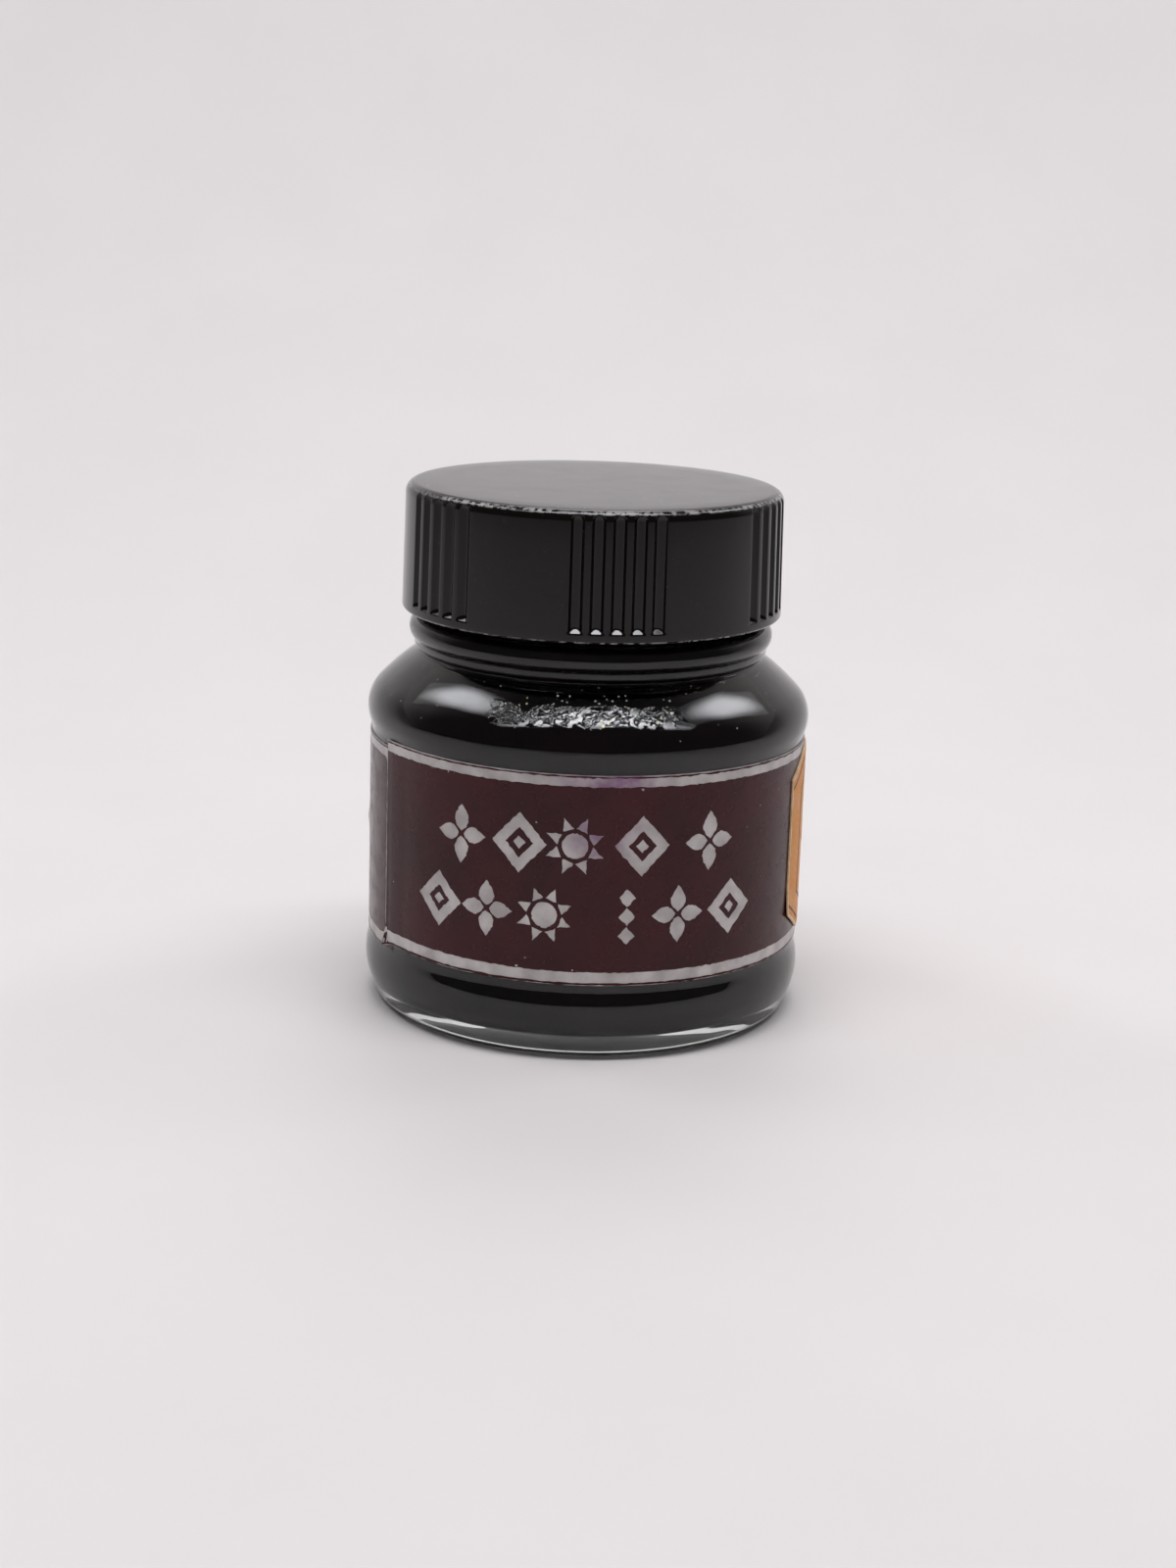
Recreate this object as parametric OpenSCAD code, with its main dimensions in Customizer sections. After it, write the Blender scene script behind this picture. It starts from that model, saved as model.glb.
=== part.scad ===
// Small round ink bottle of one fluid ounce: a glass bottle with a moulded screw
// thread, the ink in it, a ribbed phenolic screw cap with its two-layer liner, a
// label wound once round the body, and a coloured eight-sided side label stuck on
// the wound one.  Millimetres.  +Z is up, the bottle stands on z = 0, and the
// middle of the wound label's front panel faces -Y.

/* [Glass body] */
// Radius of the body at its two protective bulges
body_r = 20.6; // [20.5:0.1:21.5]
// Radius of the flat panel that carries the wound label
panel_r = 20.2; // [19.8:0.1:20.3]
// Thickness of the body wall
wall_t = 1.8; // [1.6:0.1:2.4]
// Thickness of the glass floor at the wall
floor_t = 2; // [1.8:0.1:4.2]
// Depth of the hollow in the underside
punt_h = 0.6; // [0.4:0.1:1]

/* [Neck] */
// Radius of the mouth
mouth_r = 12.6; // [12.1:0.1:13]
// Radius of the neck between the thread ridges
neck_r = 14.75; // [14.6:0.05:14.9]
// Radius of the thread ridge at its crest
thread_r = 15.9; // [15.7:0.05:16]
// Height of the mouth above the table
mouth_z = 46; // [45.8:0.1:46.2]
// Rise of the thread in one turn
thread_pitch = 4.23; // [4.1:0.01:4.3]

/* [Cap] */
// Outer radius of the cap at its lower rim
cap_r = 17.55; // [17.5:0.05:18]
// Outer radius of the cap at its top, less than at the rim by the draft of its mould
cap_top_r = 17.35; // [17.3:0.05:17.5]
// Height of the cap's lower rim above the table
cap_rim_z = 37.15; // [37:0.05:37.4]
// Height of the cap's top above the table
cap_top_z = 48.75; // [48.6:0.05:49.2]
// Number of groups of flutes round the cap
flute_groups = 6; // [4:1:6]
// Number of flutes in a group
flutes_per_group = 5; // [3:1:5]

/* [Liner] */
// Thickness of the pulpboard disc
board_t = 0.9; // [0.7:0.05:1]
// Thickness of the film on the board's underside
facing_t = 0.12; // [0.1:0.01:0.15]

/* [Ink] */
// Height of the ink's surface above the table
ink_z = 36.5; // [30:0.5:40]

/* [Labels] */
// Thickness of the wound label
wrap_t = 0.12; // [0.1:0.01:0.14]
// Height of the wound label
wrap_h = 19.1; // [18:0.1:19.2]
// Drop of the wound label in one turn, from being stuck on askew
wrap_skew = 0.7; // [0:0.1:0.8]
// Thickness of the side label
side_t = 0.18; // [0.12:0.02:0.2]
// Width of the side label
side_w = 18; // [12:1:20]
// Height of the side label
side_h = 17.3; // [12:0.1:17.5]

/* [Hidden] */
$fn = 96;
touch = 0.01;       // gap kept where a faceted skin meets a true cylinder
tiny = 0.01;        // overrun of a cutting tool past the face it cuts

// glass body: bulges, heel and shoulder
heel_r = 6;         // radius of the lower bulge's section
heel_z = 4.2;       // height of the lower bulge's widest place
foot_r = 1.45;      // radius of the heel's last turn into the standing ring
foot_x = 18.45;     // radius of the circle that the bottle stands on
foot_in_r = 16.9;   // radius where the hollow in the underside begins
shoulder_r = 3.3;   // radius of the upper bulge's section
shoulder_z = 27.9;  // height of the upper bulge's widest place
slope_a = 50;       // angle round the upper bulge where the straight slope starts
panel_z0 = 6;       // lower end of the label panel, inside the lower bulge
panel_z1 = 27;      // upper end of the label panel, inside the upper bulge

// neck: two beads under the thread
slope_end = [15.4, 33.8];
low_bead = [15.5, 34.1, 0.9];    // middle radius, height, section radius
high_bead = [15.6, 35.35, 1.3];
mouth_round = 0.6;

// hollow of the bottle
hollow_r = panel_r - wall_t;
hollow_corner = 4;                // rounding of the hollow under the shoulder
floor_corner = 1.6;               // rounding of the hollow round its floor
hollow_top_z = 27.2;             // height where the hollow starts to draw in
throat_z = 33.8;                 // height where the hollow reaches the mouth's radius

// thread: the bottle's ridge, and the cap's ridge that hooks under it
ridge_crest = 0.42;              // half the width of a ridge at its crest
ridge_sink = 0.5;                // how far a ridge is rooted in its wall
ridge_root = 1.46;               // half the width of a ridge at its root, in the wall
ridge_step = 8;                  // degrees between two sections of a ridge
ridge_fade = 40;                 // degrees over which a ridge runs out
bottle_ridge_z = 39.4;           // height of the bottle's ridge in the direction +X
bottle_ridge_from = 3;           // degrees from +X to where it starts
bottle_ridge_turn = 392;         // degrees that it runs
cap_ridge_drop = 1.75;           // how far the cap's ridge lies below the bottle's
cap_ridge_from = 91;
cap_ridge_turn = 368;

// cap
cap_bore_r = 16.25;              // inside radius of the skirt
cap_crest_r = 15.15;             // radius of the cap's ridge at its crest
cap_round = 0.8;                 // rounding of the cap's top edge
cap_foot = 0.25;                 // bevel of the cap's lower rim
roof_z = mouth_z + facing_t + board_t + touch;
relief_r = 15.2;                 // radius of the recess that the liner is pressed into
flute_step = 6;                  // degrees between two flutes
flute_mid = 7.5;                 // direction of the group nearest the front
flute_r = 0.64;                  // radius of the cutter of a flute
flute_depth = 0.46;
flute_z0 = 38;                   // height where a flute's sloping ledge meets the skirt
flute_ball_z = 47.85;            // height of the cutter's rounded end
cap_draft = atan((cap_r - cap_top_r) / (cap_top_z - cap_rim_z));
liner_r = relief_r - touch;

// labels
wrap_z = 26.35;                  // height of the wound label's top edge at its outer end
wrap_from = -61.5;               // direction of its outer end, from the front
wrap_lap = 3;                    // degrees by which it laps over its own start
wrap_step = 3;
side_dir = 92.7;                 // direction of the side label's middle
side_mid_z = 16.75;
side_cut = [4, 2.2];             // width and height of its four cut corners
side_r = panel_r + touch + wrap_t + 0.02;

// turns a part from +X so that it faces the direction a, counted from the front
module facing(a) rotate([0, 0, a - 90]) children();

// a solid through closed sections that all have the same number of points
module skin(sections) {
  n = len(sections[0]);
  last = len(sections) - 1;
  points = [for (s = sections) each s];
  sides = [for (i = [0:last - 1], j = [0:n - 1])
    [i * n + j, i * n + (j + 1) % n, (i + 1) * n + (j + 1) % n, (i + 1) * n + j]];
  ends = [[for (j = [n - 1:-1:0]) j], [for (j = [0:n - 1]) last * n + j]];
  polyhedron(points = points, faces = concat(sides, ends), convexity = 6);
}

// a point of a section, [radius, height], put at the angle a
function around(p, a) = [p[0] * cos(a), p[0] * sin(a), p[1]];

// height of the bottle's ridge at the angle a
function ridge_z(a) = bottle_ridge_z + thread_pitch * a / 360;

// how much of a ridge's height stands at the angle a of its run
function ridge_share(a, run) = max(0.06, min(1, a / ridge_fade, (run - a) / ridge_fade));

// one section of a ridge on the wall radius w, with its crest at the radius c; its
// two flanks run on into the wall, so that no corner lies just on the wall's face
function ridge_section(w, c, share) =
  let (out = c > w ? 1 : -1, tip = w + (c - w) * share)
  [[w - out * ridge_sink, -ridge_root], [tip, -ridge_crest],
   [tip, ridge_crest], [w - out * ridge_sink, ridge_root]];

// a screw ridge on the wall radius w, from the angle a0 over the given run
module ridge(w, c, a0, run, drop) {
  inward = c < w;
  skin([for (a = [0:ridge_step:run])
    let (s = ridge_section(w, c, ridge_share(a, run)),
         t = [for (p = s) around([p[0], p[1] + ridge_z(a0 + a) - drop], a0 + a)])
    inward ? [for (i = [len(t) - 1:-1:0]) t[i]] : t]);
}

// right half of a bottle or cap section
module half_plane() translate([0, -1]) square([body_r + 4, cap_top_z + 2]);

// the slope from the upper bulge up to the neck
module slope_section() {
  bulge_x = body_r - shoulder_r;
  start = [bulge_x + shoulder_r * cos(slope_a), shoulder_z + shoulder_r * sin(slope_a)];
  polygon([[0, shoulder_z], [bulge_x, shoulder_z], start, slope_end, [0, slope_end[1]]]);
}

module bottle_outside() {
  intersection() {
    translate([body_r - heel_r, heel_z]) circle(heel_r);
    translate([0, 1.3]) square([body_r + 1, 6]);
  }
  translate([foot_x, foot_r]) circle(foot_r);
  square([foot_x, heel_z]);
  translate([0, panel_z0]) square([panel_r, panel_z1 - panel_z0]);
  translate([0, panel_z0 - 2]) square([body_r - heel_r, 4]);
  translate([body_r - shoulder_r, shoulder_z]) circle(shoulder_r);
  slope_section();
  translate([0, shoulder_z - 3]) square([body_r - shoulder_r, 4]);
  for (b = [low_bead, high_bead]) {
    translate([b[0], b[1]]) circle(b[2]);
    translate([0, b[1] - b[2]]) square([b[0], 2 * b[2]]);
  }
  translate([0, shoulder_z]) square([neck_r, mouth_z - mouth_round - shoulder_z]);
  translate([0, shoulder_z]) square([neck_r - mouth_round, mouth_z - shoulder_z]);
  translate([neck_r - mouth_round, mouth_z - mouth_round]) circle(mouth_round);
}

// the hollow, as high as the given height
module hollow_section(top) {
  intersection() {
    union() {
      translate([0, floor_t + floor_corner])
        square([hollow_r, hollow_top_z - floor_t - floor_corner]);
      translate([0, floor_t]) square([hollow_r - floor_corner, 2 * floor_corner]);
      translate([0, floor_t + floor_corner])
        square([hollow_r - hollow_corner, hollow_top_z + hollow_corner - floor_t - floor_corner]);
      translate([hollow_r - floor_corner, floor_t + floor_corner]) circle(floor_corner);
      translate([hollow_r - hollow_corner, hollow_top_z]) circle(hollow_corner);
      polygon([[0, hollow_top_z], [hollow_r - hollow_corner, hollow_top_z + hollow_corner],
        [mouth_r, throat_z], [0, throat_z]]);
      translate([0, throat_z - 1]) square([mouth_r, mouth_z - throat_z + 2]);
    }
    square([body_r, top]);
  }
}

module punt_section() {
  dish_r = (foot_in_r * foot_in_r + punt_h * punt_h) / (2 * punt_h);
  intersection() {
    translate([0, punt_h - dish_r]) circle(dish_r, $fn = 200);
    translate([0, -1]) square([foot_in_r, 1 + punt_h + tiny]);
  }
}

module bottle() {
  color([0.78, 0.86, 0.84, 0.45]) {
    rotate_extrude() intersection() {
      difference() {
        bottle_outside();
        hollow_section(mouth_z + 1);
        punt_section();
      }
      half_plane();
    }
    ridge(neck_r, thread_r, bottle_ridge_from, bottle_ridge_turn, 0);
  }
}

module ink() {
  color([0.05, 0.02, 0.07]) rotate_extrude() intersection() {
    hollow_section(ink_z);
    half_plane();
  }
}

module cap_section() {
  difference() {
    union() {
      polygon([[0, cap_rim_z], [cap_r - cap_foot, cap_rim_z], [cap_r, cap_rim_z + cap_foot],
        [cap_top_r, cap_top_z - cap_round], [0, cap_top_z - cap_round]]);
      translate([0, cap_rim_z + 1]) square([cap_top_r - cap_round, cap_top_z - cap_rim_z - 1]);
      translate([cap_top_r - cap_round, cap_top_z - cap_round]) circle(cap_round);
    }
    translate([0, cap_rim_z - 1]) square([cap_bore_r, mouth_z - cap_rim_z]);
    translate([0, cap_rim_z - 1]) square([relief_r, roof_z - cap_rim_z + 1]);
  }
}

// cutter of one flute, round at its top end, leaning in with the cap's draft
module flute() {
  lean_r = cap_r + flute_r - flute_depth;
  h = flute_ball_z - cap_rim_z;
  translate([lean_r, 0, cap_rim_z]) rotate([0, -cap_draft, 0]) {
    translate([0, 0, flute_z0 - cap_rim_z - 0.5]) cylinder(r = flute_r, h = h - (flute_z0 - cap_rim_z - 0.5));
    translate([0, 0, h]) sphere(flute_r);
  }
}

module cap() {
  color([0.04, 0.035, 0.035]) {
    difference() {
      rotate_extrude() intersection() {
        cap_section();
        half_plane();
      }
      difference() {
        for (g = [0:flute_groups - 1], i = [0:flutes_per_group - 1])
          facing(flute_mid + g * 360 / flute_groups + (i - (flutes_per_group - 1) / 2) * flute_step) flute();
        // what keeps each flute's foot a ledge that slopes at 45 degrees
        translate([0, 0, flute_z0 - 1]) cylinder(r1 = cap_r + 1, r2 = cap_r - 1, h = 2);
      }
    }
    ridge(cap_bore_r, cap_crest_r, cap_ridge_from, cap_ridge_turn, cap_ridge_drop);
  }
}

module liner_board() {
  color([0.72, 0.66, 0.55]) translate([0, 0, mouth_z + facing_t + touch])
    cylinder(r = liner_r, h = board_t);
}

module liner_facing() {
  color([0.93, 0.93, 0.9]) translate([0, 0, mouth_z + touch]) cylinder(r = liner_r, h = facing_t);
}

// radius of the wound label's inner face: it climbs over its own start at the lap
function wrap_r(a) =
  panel_r + touch + (wrap_t + touch) * max(0, min(1, 1 - (a - wrap_lap) / (2 * wrap_step)));

// one cross-section of the wound label, at the angle a after its outer end
function wrap_section(a) =
  let (r = wrap_r(a), z = wrap_z - wrap_skew * a / 360, t = a + wrap_from - 90)
  [around([r, z - wrap_h], t), around([r + wrap_t, z - wrap_h], t),
   around([r + wrap_t, z], t), around([r, z], t)];

module wrap_label() {
  run = 360 + wrap_lap;
  color([0.13, 0.04, 0.05])
    skin([for (i = [0:floor(run / wrap_step)]) wrap_section(i * wrap_step)]);
}

// outline of the side label, seen from outside
module side_outline() {
  w = side_w / 2;
  h = side_h / 2;
  polygon([for (k = [[1, 1], [-1, 1], [-1, -1], [1, -1]], flip = [0, 1])
    (k[0] * k[1] > 0) == (flip == 0)
      ? [k[0] * w, k[1] * (h - side_cut[1])]
      : [k[0] * (w - side_cut[0]), k[1] * h]]);
}

module side_label() {
  color([0.93, 0.6, 0.2]) facing(side_dir) intersection() {
    translate([0, 0, side_mid_z - side_h]) difference() {
      cylinder(r = side_r + side_t, h = 2 * side_h);
      translate([0, 0, -1]) cylinder(r = side_r, h = 2 * side_h + 2);
    }
    translate([0, 0, side_mid_z]) rotate([90, 0, 90]) linear_extrude(body_r + 1) side_outline();
  }
}

bottle();
ink();
cap();
liner_board();
liner_facing();
wrap_label();
side_label();
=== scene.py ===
# %% [markdown]
# # A small glass ink bottle
# A one-ounce ink bottle is a moulded glass body, the ink in it, a ribbed screw cap
# with a two-layer liner, a foil label wound once round the body, and a paper side
# label.  The solids that the machine shop would work from are already packed, in
# metres, standing on z = 0 with the front towards -Y.  This lesson puts a finely
# made skin and a real finish on each of them, and never moves them.

# %% Load the solids
import math
import random

import bmesh
import bpy
import numpy as np
from mathutils import Matrix, Quaternion, Vector, geometry


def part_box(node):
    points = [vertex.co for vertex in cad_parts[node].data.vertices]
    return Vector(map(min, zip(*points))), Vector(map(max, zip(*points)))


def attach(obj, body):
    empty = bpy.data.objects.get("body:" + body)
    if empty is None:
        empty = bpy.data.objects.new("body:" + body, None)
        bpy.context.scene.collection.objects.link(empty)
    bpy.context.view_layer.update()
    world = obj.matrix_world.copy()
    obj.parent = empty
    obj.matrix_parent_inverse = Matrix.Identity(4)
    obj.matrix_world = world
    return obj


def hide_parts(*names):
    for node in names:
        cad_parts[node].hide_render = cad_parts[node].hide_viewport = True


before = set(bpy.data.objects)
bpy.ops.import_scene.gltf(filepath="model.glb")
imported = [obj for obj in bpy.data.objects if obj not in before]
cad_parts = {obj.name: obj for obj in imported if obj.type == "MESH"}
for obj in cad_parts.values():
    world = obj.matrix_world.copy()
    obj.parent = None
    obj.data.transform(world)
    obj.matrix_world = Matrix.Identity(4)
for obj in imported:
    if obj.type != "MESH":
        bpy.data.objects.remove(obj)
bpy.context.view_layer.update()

MM = 0.001  # every size below is written in millimetres and made in metres
TURN = 2 * math.pi
for node_name in sorted(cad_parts):
    low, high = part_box(node_name)
    print(node_name, "from", [round(v / MM, 2) for v in low], "to", [round(v / MM, 2) for v in high])

# %% [markdown]
# ## Helpers
# Most pieces here are turned on one axis, so a piece starts as a profile: a line of
# (radius, height) points.  Small helpers draw arcs, soften the line as fire polishing
# softens glass, and thin it so that flat runs take few faces.  One more
# adds a shader or geometry node with its settings and its links, and one turns the
# hex colour that a paint chart gives into the linear light that Blender works in.

# %% Colours and nodes
def linear(hex_colour):
    """sRGB hex to the linear colour that a socket takes."""
    parts = [int(hex_colour[i:i + 2], 16) / 255 for i in (1, 3, 5)]
    return [p / 12.92 if p <= 0.04045 else ((p + 0.055) / 1.055) ** 2.4 for p in parts] + [1.0]


def add(tree, kind, settings=None, inputs=None):
    """Adds a node: settings are its properties or its operation, inputs are numbers or what to link."""
    node = tree.nodes.new(kind)
    if isinstance(settings, str):
        settings = {"operation": settings}
    for key, value in (settings or {}).items():
        setattr(node, key, value)
    for key, value in (enumerate(inputs) if isinstance(inputs, tuple) else (inputs or {}).items()):
        if isinstance(value, bpy.types.Node):
            value = value.outputs[0]
        if isinstance(value, bpy.types.NodeSocket):
            tree.links.new(value, node.inputs[key])
        else:
            node.inputs[key].default_value = value
    return node


MATH, VECTOR = "ShaderNodeMath", "ShaderNodeVectorMath"
RAMP, NOISE = "ShaderNodeMapRange", "ShaderNodeTexNoise"
print("white is", linear("#FFFFFF")[0], "and mid grey", round(linear("#808080")[0], 3))

# %% Profiles
def arc(centre, radius, start, end, steps=24):
    """Points of an arc in the plane of a profile, with its angles in degrees."""
    angles = [math.radians(start + (end - start) * i / steps) for i in range(steps + 1)]
    return [(centre[0] + radius * math.cos(a), centre[1] + radius * math.sin(a)) for a in angles]


def resampled(points, step):
    """The same line with its points about one step apart."""
    line = [points[0]]
    for (r0, z0), (r1, z1) in zip(points, points[1:]):
        count = max(1, round(math.hypot(r1 - r0, z1 - z0) / step))
        line += [(r0 + (r1 - r0) * i / count, z0 + (z1 - z0) * i / count) for i in range(1, count + 1)]
    return line


def softened(points, times):
    """Rounds the corners of a dense line: each point moves half way to its neighbours' middle."""
    for _ in range(times):
        inner = [((a[0] + 2 * b[0] + c[0]) / 4, (a[1] + 2 * b[1] + c[1]) / 4)
                 for a, b, c in zip(points, points[1:], points[2:])]
        points = [points[0]] + inner + [points[-1]]
    return points


def thinned(points, tolerance, longest):
    """Keeps only the points that a line needs to stay within the tolerance."""
    kept, i = [points[0]], 0
    while i < len(points) - 1:
        j = i + 1
        while j + 1 < len(points):
            (r0, z0), (r1, z1) = points[i], points[j + 1]
            length = math.hypot(r1 - r0, z1 - z0)
            if length > longest(points[i]):
                break
            off = max(abs((r1 - r0) * (z0 - z) - (r0 - r) * (z1 - z0)) / max(length, 1e-9)
                      for r, z in points[i + 1:j + 1])
            if off > tolerance:
                break
            j += 1
        kept.append(points[j])
        i = j
    return kept


# %% Meshes
def make_piece(name, points, faces):
    """An object whose place is in its mesh, from points in millimetres."""
    mesh = bpy.data.meshes.new(name)
    mesh.from_pydata([Vector(p) * MM for p in points], [], faces)
    mesh.validate()
    piece = bpy.data.objects.new(name, mesh)
    bpy.context.scene.collection.objects.link(piece)
    return piece


def turned(name, profile, angles):
    """Turns a profile that starts and ends on the axis round Z, with both poles closed."""
    rows, n = profile[1:-1], len(angles)
    points = [(0, 0, profile[0][1])]
    points += [(r * math.cos(a), r * math.sin(a), z) for r, z in rows for a in angles]
    points.append((0, 0, profile[-1][1]))
    ring = lambda row, j: 1 + row * n + j % n
    faces = [(0, ring(0, j), ring(0, j + 1)) for j in range(n)]
    faces += [(ring(i, j), ring(i + 1, j), ring(i + 1, j + 1), ring(i, j + 1))
              for i in range(len(rows) - 1) for j in range(n)]
    faces += [(ring(len(rows) - 1, j), len(points) - 1, ring(len(rows) - 1, j + 1)) for j in range(n)]
    return make_piece(name, points, faces)


def outwards(piece, sharp_from=35):
    """Turns all faces outwards, and shades smoothly but for edges over the given angle."""
    mesh = bmesh.new()
    mesh.from_mesh(piece.data)
    if mesh.calc_volume(signed=True) < 0:
        bmesh.ops.reverse_faces(mesh, faces=mesh.faces)
    volume = mesh.calc_volume(signed=True)
    open_edges = sum(1 for e in mesh.edges if len(e.link_faces) != 2)
    mesh.to_mesh(piece.data)
    mesh.free()
    piece.data.shade_smooth()
    piece.data.set_sharp_from_angle(angle=math.radians(sharp_from))
    faces = len(piece.data.polygons)
    print(f"{piece.name}: {faces} faces, {volume / MM**3:.1f} mm3, {open_edges} open edges")
    return piece


def run_tree(piece, tree, values):
    """Runs a geometry tree on a piece and keeps the result as its plain mesh."""
    modifier = piece.modifiers.new(tree.name, "NODES")
    modifier.node_group = tree
    for item in tree.interface.items_tree:
        if item.item_type == "SOCKET" and item.in_out == "INPUT" and item.name in values:
            modifier[item.identifier] = values[item.name]
    evaluated = piece.evaluated_get(bpy.context.evaluated_depsgraph_get())
    mesh = bpy.data.meshes.new_from_object(evaluated)
    piece.modifiers.remove(modifier)
    piece.data = mesh
    return piece


def new_tree(name, sockets):
    """A geometry tree with named inputs, and its input node."""
    tree = bpy.data.node_groups.new(name, "GeometryNodeTree")
    tree.interface.new_socket("Geometry", in_out="INPUT", socket_type="NodeSocketGeometry")
    for socket, value in sockets.items():
        item = tree.interface.new_socket(socket, in_out="INPUT", socket_type=(
            "NodeSocketInt" if isinstance(value, int) else "NodeSocketFloat"))
        item.default_value = value
    tree.interface.new_socket("Material", in_out="INPUT", socket_type="NodeSocketMaterial")
    tree.interface.new_socket("Geometry", in_out="OUTPUT", socket_type="NodeSocketGeometry")
    return tree, tree.nodes.new("NodeGroupInput")


def close_tree(tree, given, geometry_socket):
    """Ends a tree in Realize Instances and Set Material."""
    real = add(tree, "GeometryNodeRealizeInstances", {}, {0: geometry_socket})
    material = given.outputs["Material"]
    dressed = add(tree, "GeometryNodeSetMaterial", {}, {"Geometry": real, "Material": material})
    add(tree, "NodeGroupOutput", {}, {0: dressed})
    return tree


# %% [markdown]
# ## The viewpoint
# The bottle is seen from a little above, with a slight tilt of the camera.  It is
# set down first, because all the looks are judged from there.  The numbers are a
# distance, a height and three small angles; the lens is as long as a phone's
# portrait lens is on a full-size sensor.

# %% Camera
CAMERA_PLACE = (0, -233.458, 80.2575)
CAMERA_PITCH, CAMERA_YAW, CAMERA_ROLL = [math.radians(a) for a in (14.414, 0.048, 1.822)]
SENSOR_WIDTH, LENS = 36.0, 58.54


def make_camera():
    forward = Vector((math.sin(CAMERA_YAW) * math.cos(CAMERA_PITCH),
                      math.cos(CAMERA_YAW) * math.cos(CAMERA_PITCH), -math.sin(CAMERA_PITCH)))
    level = Vector((math.cos(CAMERA_YAW), -math.sin(CAMERA_YAW), 0))
    upright = level.cross(forward)
    right = level * math.cos(CAMERA_ROLL) + upright * math.sin(CAMERA_ROLL)
    up = upright * math.cos(CAMERA_ROLL) - level * math.sin(CAMERA_ROLL)
    data = bpy.data.cameras.new("camera")
    data.sensor_width, data.lens = SENSOR_WIDTH, LENS
    data.clip_start, data.clip_end = 0.01, 20.0
    camera = bpy.data.objects.new("camera", data)
    camera.matrix_world = Matrix.Translation(Vector(CAMERA_PLACE) * MM) @ Matrix(
        [(right[i], up[i], -forward[i]) for i in range(3)]).to_4x4()
    bpy.context.scene.collection.objects.link(camera)
    bpy.context.scene.camera = camera
    return camera


camera = make_camera()
bpy.context.scene.view_settings.view_transform = "Standard"
print("camera at", [round(v, 4) for v in camera.location], "lens", camera.data.lens)

# %% [markdown]
# ## The glass body
# The body is blown or pressed in a mould, so its shape is a profile turned round an
# axis, with every corner softened by the fire polish.  The inside is part of the
# same closed skin: light has to enter the glass, meet the ink, and leave again.
# A turned mesh is chosen rather than a subdivided cylinder, because the profile can
# then be dense at the beads and sparse on the flat label panel.

# %% The body's profile
BODY_R, PANEL_R = 20.6, 20.2
HEEL, HEEL_R = (14.6, 4.2), 6.0
FOOT, FOOT_R = (18.45, 1.45), 1.45
PUNT_R, PUNT_H = 16.9, 0.6
SHOULDER, SHOULDER_R, SLOPE_A, CROWN = (17.3, 27.9), 3.3, 50, 0.1
LOW_BEAD, LOW_BEAD_R = (15.5, 34.1), 0.9
HIGH_BEAD, HIGH_BEAD_R = (15.6, 35.35), 1.3
NECK_R, THREAD_R, MOUTH_R, MOUTH_Z = 14.75, 15.9, 12.6, 46.0
HOLLOW_R, FLOOR_CORNER, FLOOR_Z = 18.4, 1.6, 2.0
TOP_CORNER, HOLLOW_TOP, THROAT_Z = 4.0, 27.2, 33.8
LIP_OUT, LIP_IN = 0.6, 0.45  # the roundings of the mouth's rim


def outside_line():
    """From the middle of the underside round the heel and the shoulder to the mouth."""
    dish = (PUNT_R ** 2 + PUNT_H ** 2) / (2 * PUNT_H)
    line = [(r, PUNT_H - dish + math.sqrt(dish ** 2 - r * r))
            for r in [PUNT_R * i / 40 for i in range(40)]]
    line += [(PUNT_R, 0.0)]
    line += arc(FOOT, FOOT_R, -90, -5)
    line += arc(HEEL, HEEL_R, -27.5, 21)
    line += arc(SHOULDER, SHOULDER_R, -28.5, SLOPE_A)
    (r0, z0), (r1, z1) = line[-1], arc(LOW_BEAD, LOW_BEAD_R, -59, 13)[0]
    length = math.hypot(r1 - r0, z1 - z0)
    for t in [i / 12 for i in range(1, 12)]:
        full = 4 * CROWN * t * (1 - t) / length
        line.append((r0 + (r1 - r0) * t + (z1 - z0) * full, z0 + (z1 - z0) * t - (r1 - r0) * full))
    line += arc(LOW_BEAD, LOW_BEAD_R, -59, 13)
    line += arc(HIGH_BEAD, HIGH_BEAD_R, -53, 130)
    line += arc((NECK_R - LIP_OUT, MOUTH_Z - LIP_OUT), LIP_OUT, 0, 90, 10)
    return line


def inside_line():
    """From the mouth down to the middle of the floor."""
    line = [(MOUTH_R, THROAT_Z)]
    line += arc((HOLLOW_R - TOP_CORNER, HOLLOW_TOP), TOP_CORNER, 90, 0)
    line += arc((HOLLOW_R - FLOOR_CORNER, FLOOR_Z + FLOOR_CORNER), FLOOR_CORNER, 0, -90)
    line += [(0, FLOOR_Z)]
    return line


def body_profile():
    mouth = arc((MOUTH_R + LIP_IN, MOUTH_Z - LIP_IN), LIP_IN, 90, 180, 8)
    line = softened(resampled(outside_line() + mouth + inside_line(), 0.15), 8)
    in_thread = lambda p: NECK_R - 0.1 < p[0] < NECK_R + 0.1 and p[1] > 36.0
    return thinned(line, 0.004, lambda p: 0.22 if in_thread(p) else 2.5)


profile = body_profile()
print("body profile:", len(profile), "points, widest", round(max(r for r, z in profile), 3))

# %% [markdown]
# ## The screw ridge as a rule
# A thread is a ridge that climbs one pitch in each turn and runs out at both ends.
# That is a rule, so a geometry tree can raise it from the turned wall: each point
# asks how far it lies from the ridge's line, and moves out by what is left of the
# ridge's height there.  The neck and the cap's bore use the same tree, one outwards
# and one inwards, so the two threads always have the same pitch.

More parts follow.
